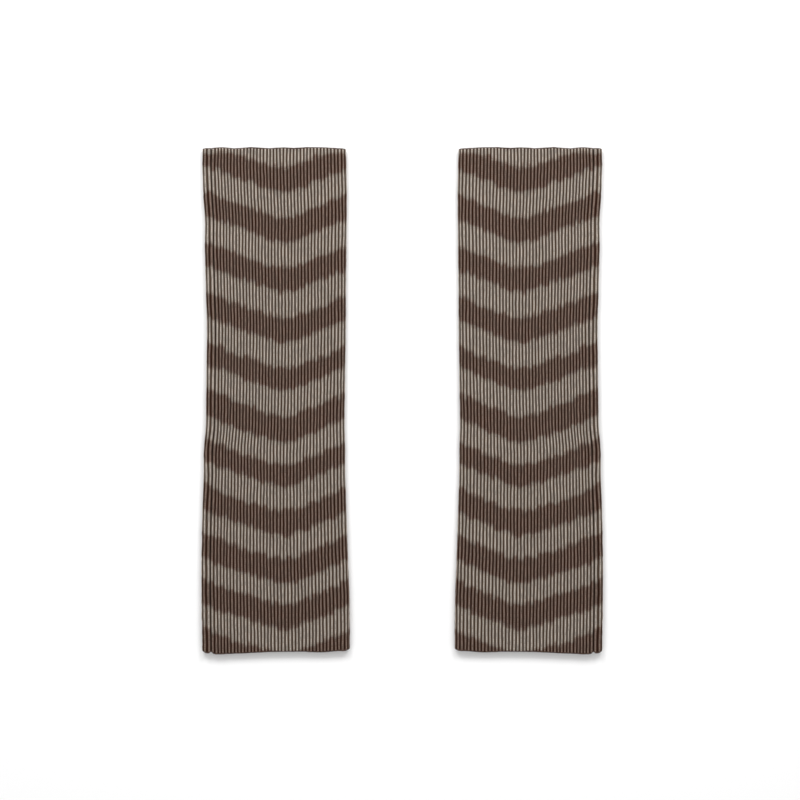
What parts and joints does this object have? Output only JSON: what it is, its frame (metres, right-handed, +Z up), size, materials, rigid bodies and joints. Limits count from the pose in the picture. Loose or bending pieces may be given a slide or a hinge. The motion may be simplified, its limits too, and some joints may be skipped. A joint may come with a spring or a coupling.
{
  "type": "pair of leg warmers",
  "caption": "Long rib-knit leg warmers, open tubes with wavy contrast stripes, laid flat side by side.",
  "frame": {"origin": "on the surface that the pair lies on, midway between the two leg warmers and halfway along them", "axes": "+X across the pair, +Y along the tubes towards their bound-off top ends, +Z up from the surface"},
  "size_m": [0.3566, 0.45, 0.0074],
  "materials": {
    "rib_knit": "1x1 rib knit in soft matt yarn, taupe and dark brown wavy stripes",
    "edge_row": "bound-off and cast-on rows in dark brown yarn"
  },
  "bodies": {
    "root": {"left_front": "rib_knit", "left_front_top_edge": "edge_row", "left_front_bottom_edge": "edge_row", "left_back": "rib_knit", "left_back_top_edge": "edge_row", "left_back_bottom_edge": "edge_row", "right_front": "rib_knit", "right_front_top_edge": "edge_row", "right_front_bottom_edge": "edge_row", "right_back": "rib_knit", "right_back_top_edge": "edge_row", "right_back_bottom_edge": "edge_row"}
  },
  "joints": []
}
